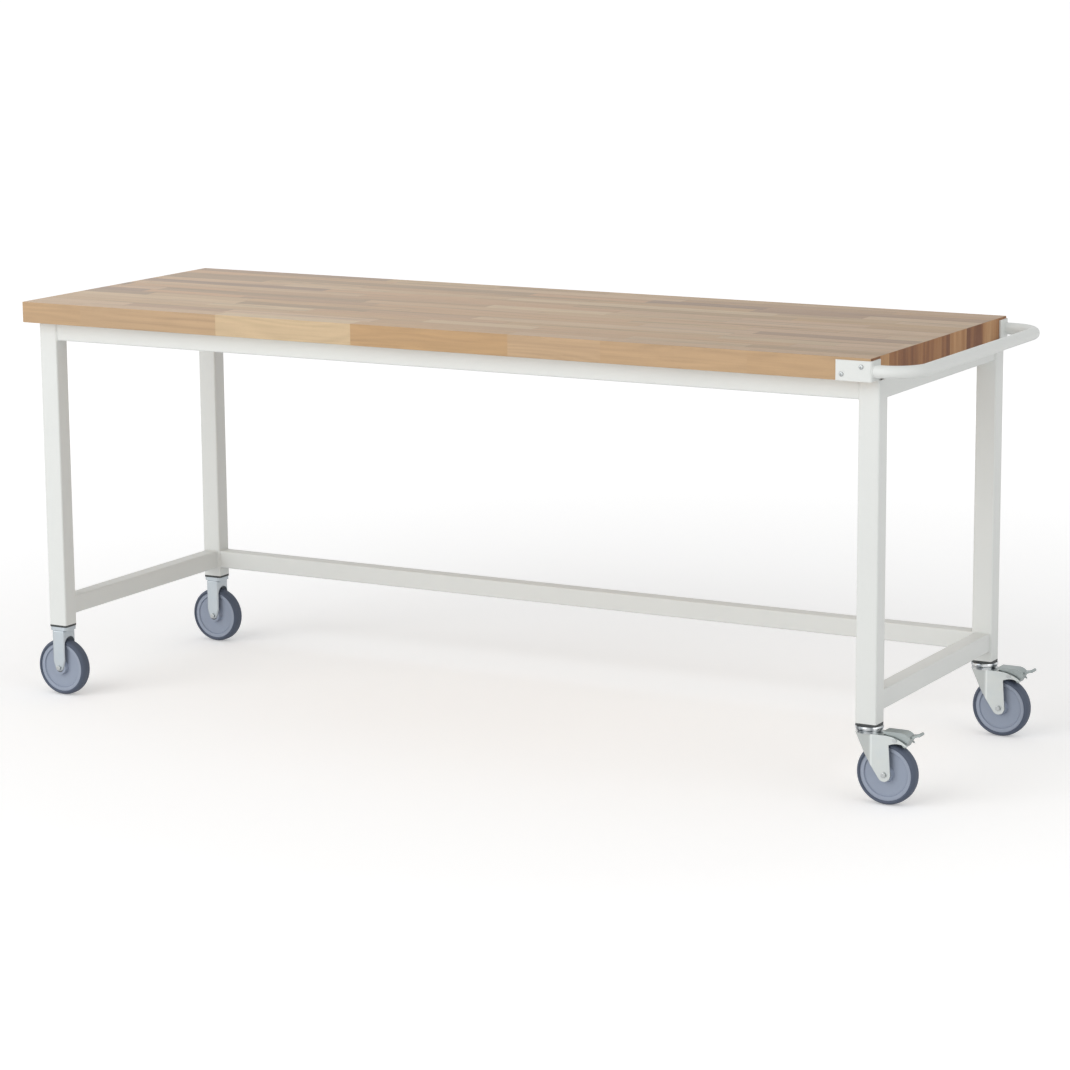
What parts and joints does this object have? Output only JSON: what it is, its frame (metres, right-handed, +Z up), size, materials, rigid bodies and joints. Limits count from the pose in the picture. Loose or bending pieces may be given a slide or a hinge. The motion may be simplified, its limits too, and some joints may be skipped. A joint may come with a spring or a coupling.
{
  "type": "mobile workbench",
  "caption": "Workbench with a thick laminated wood top on a welded tube frame, fixed castors at one end, braked swivel castors and a push handle at the other.",
  "frame": {"origin": "on the floor, under the middle of the overall length and depth", "axes": "+X along the bench towards the push handle, +Y to the back, +Z up"},
  "size_m": [2.1146, 0.7112, 0.88],
  "materials": {
    "beech_block": "oiled, satin",
    "grey_powder_coat": "satin powder coat",
    "black_plastic": "moulded, matt",
    "zinc_sheet": "bright zinc plating",
    "bright_zinc": "polished plating",
    "zinc_fasteners": "zinc plating",
    "grey_tyre": "matt",
    "core_plastic": "moulded, satin",
    "bush_plastic": "moulded, smooth"
  },
  "bodies": {
    "bench": {"worktop": "beech_block", "leg_front_left": "grey_powder_coat", "leg_insert_front_left": "black_plastic", "leg_front_right": "grey_powder_coat", "leg_insert_front_right": "black_plastic", "leg_back_left": "grey_powder_coat", "leg_insert_back_left": "black_plastic", "leg_back_right": "grey_powder_coat", "leg_insert_back_right": "black_plastic", "upper_rail_front": "grey_powder_coat", "upper_rail_back": "grey_powder_coat", "upper_rail_left": "grey_powder_coat", "upper_rail_right": "grey_powder_coat", "lower_rail_back": "grey_powder_coat", "lower_rail_left": "grey_powder_coat", "lower_rail_right": "grey_powder_coat", "worktop_bolts": "zinc_fasteners", "worktop_threaded_inserts": "zinc_fasteners", "handle_screws": "zinc_fasteners", "handle_bar": "grey_powder_coat", "handle_bracket_front": "grey_powder_coat", "handle_bracket_back": "grey_powder_coat", "axle_bolts_fixed": "zinc_fasteners", "axle_nuts_fixed": "zinc_fasteners", "axle_spacers_fixed": "zinc_fasteners", "fixed_collar_front_left": "zinc_sheet", "fixed_fork_front_left": "zinc_sheet", "fixed_collar_back_left": "zinc_sheet", "fixed_fork_back_left": "zinc_sheet", "swivel_head_front_right": "bright_zinc", "swivel_head_back_right": "bright_zinc"},
    "wheel_front_left": {"wheel_core_front_left": "core_plastic", "tyre_front_left": "grey_tyre", "hub_bush_front_left": "bush_plastic"},
    "wheel_front_right": {"wheel_core_front_right": "core_plastic", "tyre_front_right": "grey_tyre", "hub_bush_front_right": "bush_plastic"},
    "wheel_back_left": {"wheel_core_back_left": "core_plastic", "tyre_back_left": "grey_tyre", "hub_bush_back_left": "bush_plastic"},
    "wheel_back_right": {"wheel_core_back_right": "core_plastic", "tyre_back_right": "grey_tyre", "hub_bush_back_right": "bush_plastic"},
    "swivel_front_right": {"swivel_fork_front_right": "zinc_sheet", "swivel_race_front_right": "bright_zinc", "axle_bolts_front_right": "zinc_fasteners", "axle_nuts_front_right": "zinc_fasteners", "axle_spacers_front_right": "zinc_fasteners", "pedal_pin_front_right": "zinc_fasteners"},
    "pedal_front_right": {"brake_pedal_front_right": "zinc_sheet"},
    "swivel_back_right": {"swivel_fork_back_right": "zinc_sheet", "swivel_race_back_right": "bright_zinc", "axle_bolts_back_right": "zinc_fasteners", "axle_nuts_back_right": "zinc_fasteners", "axle_spacers_back_right": "zinc_fasteners", "pedal_pin_back_right": "zinc_fasteners"},
    "pedal_back_right": {"brake_pedal_back_right": "zinc_sheet"}
  },
  "joints": [
    {"name": "roll_front_left", "type": "hinge", "parent": "bench", "child": "wheel_front_left", "pos_m": [-0.99475, -0.302, 0.0625], "axis": [0, 1, 0], "continuous": true},
    {"name": "roll_back_left", "type": "hinge", "parent": "bench", "child": "wheel_back_left", "pos_m": [-0.99475, 0.302, 0.0625], "axis": [0, 1, 0], "continuous": true},
    {"name": "swivel_front_right", "type": "hinge", "parent": "bench", "child": "swivel_front_right", "pos_m": [0.94525, -0.302, 0.1415], "axis": [0, 0, 1], "continuous": true},
    {"name": "roll_front_right", "type": "hinge", "parent": "swivel_front_right", "child": "wheel_front_right", "pos_m": [0.98525, -0.302, 0.0625], "axis": [0, 1, 0], "continuous": true},
    {"name": "brake_front_right", "type": "hinge", "parent": "swivel_front_right", "child": "pedal_front_right", "pos_m": [1.00725, -0.302, 0.1337], "axis": [0, 1, 0], "range_deg": [0, 18]},
    {"name": "swivel_back_right", "type": "hinge", "parent": "bench", "child": "swivel_back_right", "pos_m": [0.94525, 0.302, 0.1415], "axis": [0, 0, 1], "continuous": true},
    {"name": "roll_back_right", "type": "hinge", "parent": "swivel_back_right", "child": "wheel_back_right", "pos_m": [0.98525, 0.302, 0.0625], "axis": [0, 1, 0], "continuous": true},
    {"name": "brake_back_right", "type": "hinge", "parent": "swivel_back_right", "child": "pedal_back_right", "pos_m": [1.00725, 0.302, 0.1337], "axis": [0, 1, 0], "range_deg": [0, 18]}
  ]
}
